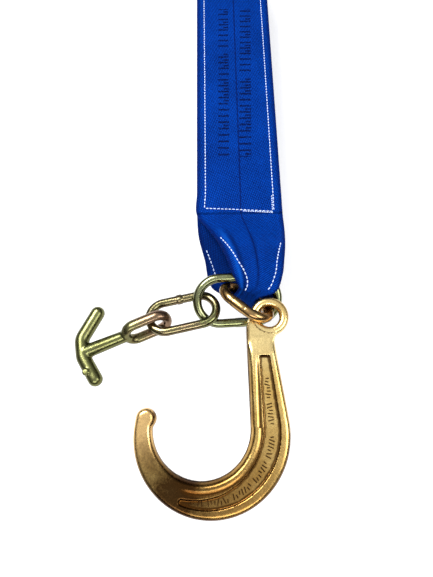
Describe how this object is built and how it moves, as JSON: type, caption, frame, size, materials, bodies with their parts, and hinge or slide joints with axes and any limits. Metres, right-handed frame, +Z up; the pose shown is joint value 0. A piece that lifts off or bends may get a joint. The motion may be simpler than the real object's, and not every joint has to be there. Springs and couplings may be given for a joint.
{
  "type": "tow bridle strap leg",
  "caption": "Flat webbing tow bridle leg with an eye at each end, a J-hook and a chain-hung T-hook on the lower eye and an oblong link in the upper eye.",
  "frame": {"origin": "on the strap's centre line, at its underside, where the lower eye starts to wrap its fittings", "axes": "+Y along the strap to its upper eye, +Z up from the surface the leg lies on, +X to the right seen from above with the hooks towards the viewer"},
  "size_m": [0.2325, 0.9577, 0.0444],
  "materials": {
    "webbing": "woven polyester",
    "thread": "bonded thread",
    "zinc_green": "yellow-green zinc plate, satin",
    "zinc_iridescent": "iridescent zinc plate, satin",
    "chromate_brown": "yellow chromate, satin",
    "chromate_gold": "yellow chromate on a forging, satin",
    "chromate_olive": "yellow chromate on a forging, satin"
  },
  "bodies": {
    "strap": {"outer_web": "webbing", "inner_ply_front": "webbing", "inner_ply_back": "webbing", "seam_left": "thread", "seam_right": "thread", "cross_seam_lower": "thread", "back_tack": "thread", "cross_seam_upper": "thread", "hem_lower_left": "thread", "hem_lower_right": "thread", "hem_upper_left": "thread", "hem_upper_right": "thread", "back_row_lower_left": "thread", "back_row_lower_right": "thread", "back_row_upper_left": "thread", "back_row_upper_right": "thread"},
    "master_link": {"master_link": "zinc_green"},
    "chain_link": {"chain_link": "zinc_iridescent"},
    "t_hook": {"t_hook": "chromate_olive"},
    "coupling_ring": {"coupling_ring": "chromate_brown"},
    "j_hook": {"j_hook": "chromate_gold"},
    "upper_link": {"upper_link": "zinc_green"}
  },
  "joints": [
    {"name": "master_link_swing", "type": "hinge", "parent": "strap", "child": "master_link", "pos_m": [-0.00705, 0.00333, 0.0268], "axis": [0.9972, 0.0592, -0.0454], "range_deg": [0, 8]},
    {"name": "chain_link_swing", "type": "hinge", "parent": "master_link", "child": "chain_link", "pos_m": [-0.05008, -0.02171, 0.01825], "axis": [-0.0344, 0.9044, 0.4253], "range_deg": [-12, 0]},
    {"name": "t_hook_swing", "type": "hinge", "parent": "chain_link", "child": "t_hook", "pos_m": [-0.10115, -0.04072, 0.01587], "axis": [-0.2123, 0.9481, -0.2368], "range_deg": [-30, 30]},
    {"name": "coupling_ring_swing", "type": "hinge", "parent": "strap", "child": "coupling_ring", "pos_m": [0.01181, -0.0164, 0.011], "axis": [0.7436, -0.6533, 0.1426], "range_deg": [0, 5]},
    {"name": "j_hook_swing", "type": "hinge", "parent": "coupling_ring", "child": "j_hook", "pos_m": [0.02347, -0.04196, 0.02802], "axis": [0.5146, 0.4229, -0.7459], "range_deg": [0, 10]},
    {"name": "upper_link_swing", "type": "hinge", "parent": "strap", "child": "upper_link", "pos_m": [0, 0.57716, 0.00974], "axis": [1, 0, 0], "range_deg": [0, 45]}
  ]
}
